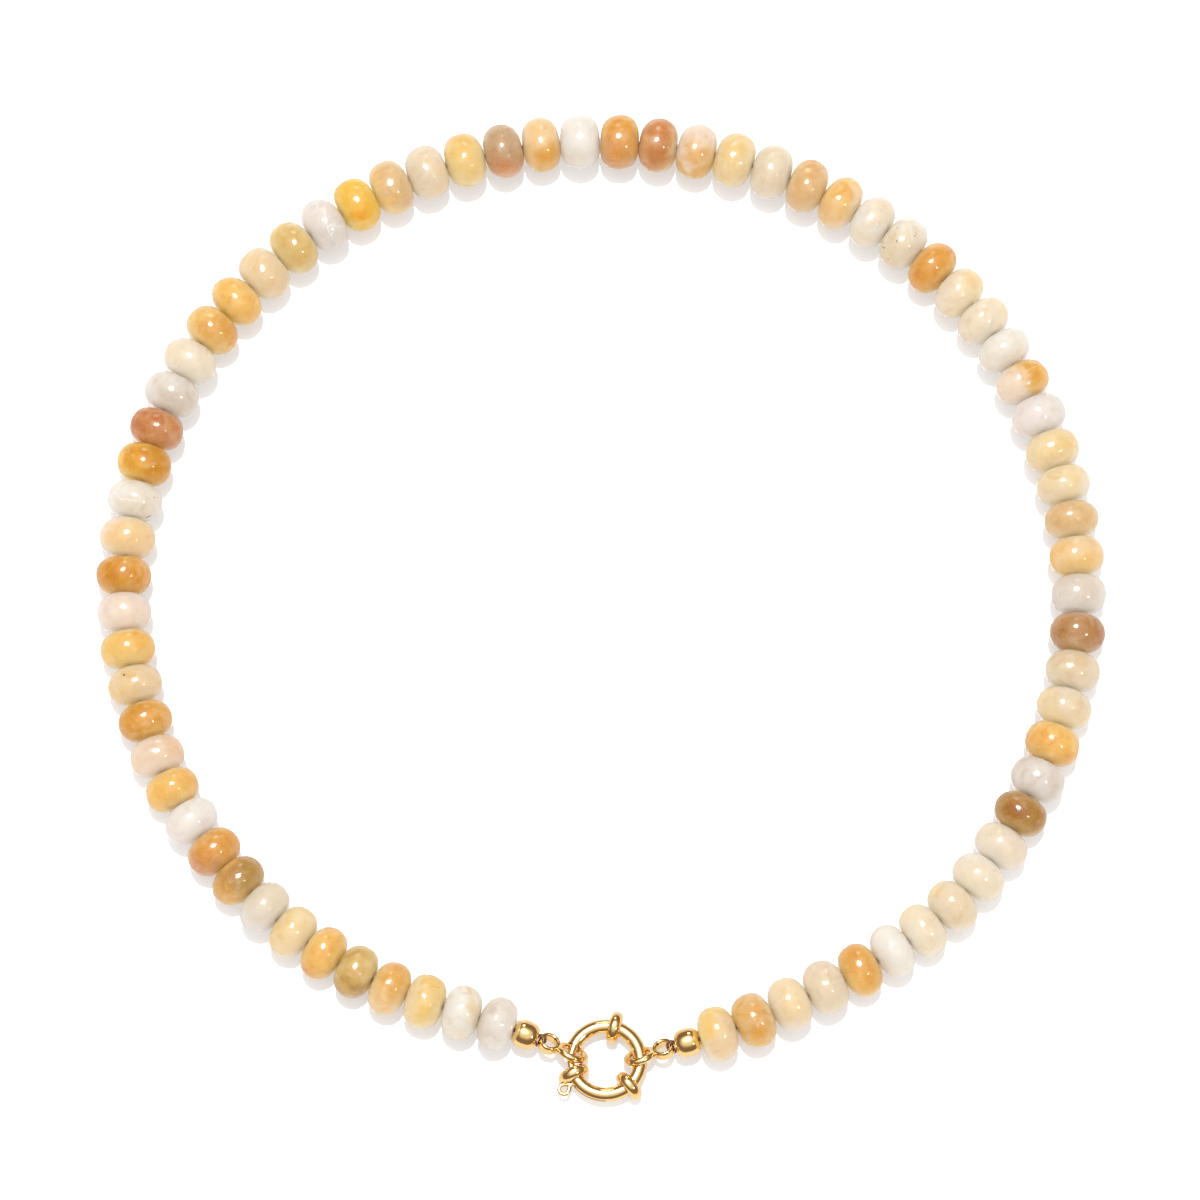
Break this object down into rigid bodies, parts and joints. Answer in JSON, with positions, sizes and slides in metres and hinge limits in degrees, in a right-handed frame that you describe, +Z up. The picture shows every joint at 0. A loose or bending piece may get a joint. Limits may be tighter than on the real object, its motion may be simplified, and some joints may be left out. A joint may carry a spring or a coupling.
{
  "type": "beaded necklace",
  "caption": "Loop of smooth rondelle stone beads in mixed honey, amber and cream tones, closed by gold end balls, double-ring connectors and a round clasp with a sliding tongue.",
  "frame": {"origin": "middle of the closed loop's bounding box, on the surface that it lies on", "axes": "+Z up from the surface, +X to the right, +Y to the back; the clasp is at the front (-Y)"},
  "size_m": [0.1458, 0.146, 0.008],
  "materials": {
    "stone": "polished, translucent",
    "gold": "polished gold plate"
  },
  "bodies": {
    "necklace": {"string_left": "stone", "string_right": "stone", "end_ball_left": "gold", "end_ball_right": "gold", "connector_left": "gold", "connector_right": "gold", "clasp_tube": "gold"},
    "lever": {"clasp_lever": "gold"}
  },
  "joints": [
    {"name": "tongue_slide", "type": "hinge", "parent": "necklace", "child": "lever", "pos_m": [0.00066, -0.06705, 0.00235], "axis": [0, 0, 1], "range_deg": [0, 50], "stiffness_Nm_per_rad": 0.005, "springref_deg": -17.19}
  ]
}
